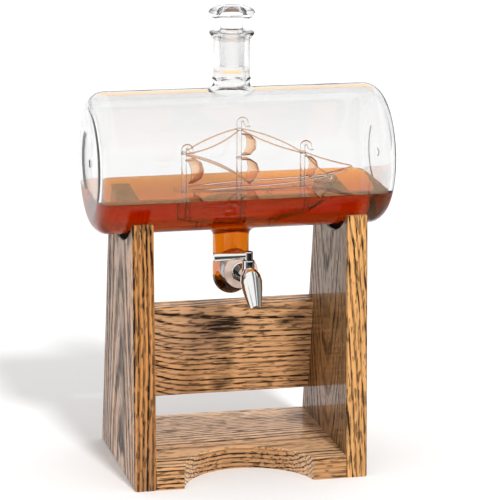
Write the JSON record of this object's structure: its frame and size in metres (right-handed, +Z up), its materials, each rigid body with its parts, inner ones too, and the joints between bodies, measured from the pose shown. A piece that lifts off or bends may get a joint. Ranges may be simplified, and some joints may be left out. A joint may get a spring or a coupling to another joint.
{
  "type": "decanter with tap",
  "caption": "Horizontal glass barrel decanter with a small glass sailing ship inside, ground stopper, drop tube and lever tap, cradled in an open oak stand.",
  "frame": {"origin": "on the table under the barrel's axis, midway between the two sides of the stand", "axes": "+X along the barrel, +Y to the back of the stand, +Z up; the tap faces -Y"},
  "size_m": [0.2118, 0.1537, 0.3326],
  "materials": {
    "side_oak": "oiled oak with open dark grain, weathered grey on the faces",
    "rail_oak": "oiled oak with strong dark grain along the board",
    "shelf_oak": "oiled oak, grey brown on top",
    "pad_rubber": "matt black",
    "vessel_glass": "clear borosilicate, frosted in the ground socket",
    "stopper_glass": "clear, frosted on the ground plug",
    "silicone": "translucent pinkish silicone",
    "tap_steel": "polished stainless steel",
    "seal_rubber": "black",
    "ship_glass": "clear lampworked rod",
    "sail_glass": "amber to peach tinted glass"
  },
  "bodies": {
    "stand": {"left_side": "side_oak", "right_side": "side_oak", "back_rail": "rail_oak", "base_shelf": "shelf_oak", "saddle_pad_left": "pad_rubber", "saddle_pad_right": "pad_rubber"},
    "decanter": {"glass_vessel": "vessel_glass", "tap_bung": "silicone", "shank_washer": "tap_steel", "shank_nut": "tap_steel", "tap_flange": "tap_steel", "tap_body": "tap_steel", "tap_bonnet": "tap_steel", "ship_hull": "ship_glass", "gunwale_rails": "ship_glass", "bowsprit": "ship_glass", "masts": "ship_glass", "sails": "sail_glass", "stays": "ship_glass"},
    "stopper": {"stopper": "stopper_glass"},
    "tap_valve": {"valve_plug": "tap_steel", "valve_seal": "seal_rubber", "lever_bar": "tap_steel"}
  },
  "joints": [
    {"name": "decanter_lift", "type": "slide", "parent": "stand", "child": "decanter", "axis": [0, 0, 1], "range_m": [0, 0.07]},
    {"name": "stopper_lift", "type": "slide", "parent": "decanter", "child": "stopper", "axis": [0, 0, 1], "range_m": [0, 0.035]},
    {"name": "tap_turn", "type": "hinge", "parent": "decanter", "child": "tap_valve", "pos_m": [-0.00375, -0.054, 0.1655], "axis": [0, 0, 1], "range_deg": [0, 90]}
  ]
}
